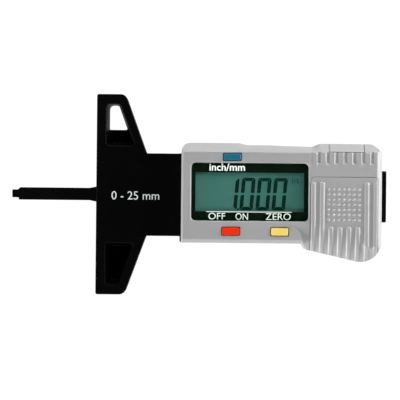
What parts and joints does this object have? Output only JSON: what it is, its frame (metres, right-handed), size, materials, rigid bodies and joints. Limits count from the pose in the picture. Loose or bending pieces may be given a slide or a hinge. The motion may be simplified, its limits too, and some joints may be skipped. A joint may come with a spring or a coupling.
{
  "type": "digital tyre tread depth gauge",
  "caption": "Hand-held digital tread depth gauge: a T-shaped base that sits across the tread, a sliding probe through it, and a display head with push buttons.",
  "frame": {"origin": "centre of the bounding box's footprint, on the plane that the gauge's back rests on", "axes": "+X along the probe from its tip towards the thumb plate, +Y across the base towards the wing with the hanging hole, +Z out of the display"},
  "size_m": [0.1124, 0.06, 0.0143],
  "materials": {
    "black_plastic": "fine satin moulded black ABS",
    "silver_plastic": "satin silver-grey painted ABS",
    "blue_plastic": "satin moulded blue",
    "red_plastic": "satin moulded red",
    "yellow_plastic": "satin moulded yellow",
    "clear_acrylic": "polished clear acrylic",
    "mask_film": "black printed film",
    "lcd_cell": "grey-green reflective liquid crystal cell",
    "white_plastic": "natural white ABS",
    "carbon_rubber": "striped conductive silicone",
    "silicone": "translucent silicone",
    "circuit_board": "green solder mask on glass-fibre board",
    "black_epoxy": "poured black epoxy",
    "ceramic_chip": "brown ceramic",
    "steel": "bright zinc-plated steel",
    "nickel_strip": "nickel-plated spring strip",
    "spring_bronze": "bare phosphor bronze"
  },
  "bodies": {
    "gauge_body": {"base_frame": "black_plastic", "rear_cover": "black_plastic", "front_housing": "silver_plastic", "travel_stop_pin": "steel", "friction_spring": "spring_bronze", "display_window": "clear_acrylic", "window_mask": "mask_film", "lcd_glass": "lcd_cell", "lcd_holder": "white_plastic", "zebra_strip_upper": "carbon_rubber", "zebra_strip_lower": "carbon_rubber", "circuit_board": "circuit_board", "chip_encapsulant": "black_epoxy", "clock_crystal": "steel", "supply_capacitor": "ceramic_chip", "data_port_connector": "black_plastic", "battery": "steel", "battery_contact_negative": "nickel_strip", "battery_contact_positive": "nickel_strip", "unit_dome": "silicone", "power_dome": "silicone", "zero_dome": "silicone", "housing_screw_1": "steel", "housing_screw_2": "steel", "housing_screw_3": "steel", "housing_screw_4": "steel", "board_screw_1": "steel", "board_screw_2": "steel", "board_screw_3": "steel"},
    "slide": {"probe_slide": "black_plastic", "scale_strip": "circuit_board", "thumb_plate": "black_plastic", "thumb_plate_screw_1": "steel", "thumb_plate_screw_2": "steel"},
    "unit_button": {"unit_button": "blue_plastic"},
    "power_button": {"power_button": "red_plastic"},
    "zero_button": {"zero_button": "yellow_plastic"},
    "battery_cover": {"battery_cover": "silver_plastic"},
    "data_port_cover": {"data_port_cover": "silver_plastic"}
  },
  "joints": [
    {"name": "slide_travel", "type": "slide", "parent": "gauge_body", "child": "slide", "axis": [1, 0, 0], "range_m": [0, 0.0254]},
    {"name": "unit_button_press", "type": "slide", "parent": "gauge_body", "child": "unit_button", "axis": [0, 0, -1], "range_m": [0, 0.0005], "stiffness_N_per_m": 1500, "springref_m": -0.0001, "deforming": ["unit_dome"]},
    {"name": "power_button_press", "type": "slide", "parent": "gauge_body", "child": "power_button", "axis": [0, 0, -1], "range_m": [0, 0.0005], "stiffness_N_per_m": 1500, "springref_m": -0.0001, "deforming": ["power_dome"]},
    {"name": "zero_button_press", "type": "slide", "parent": "gauge_body", "child": "zero_button", "axis": [0, 0, -1], "range_m": [0, 0.0005], "stiffness_N_per_m": 1500, "springref_m": -0.0001, "deforming": ["zero_dome"]},
    {"name": "battery_cover_slide", "type": "slide", "parent": "gauge_body", "child": "battery_cover", "axis": [0, -1, 0], "range_m": [0, 0.03]},
    {"name": "data_port_cover_slide", "type": "slide", "parent": "gauge_body", "child": "data_port_cover", "axis": [0, 1, 0], "range_m": [0, 0.008]}
  ]
}
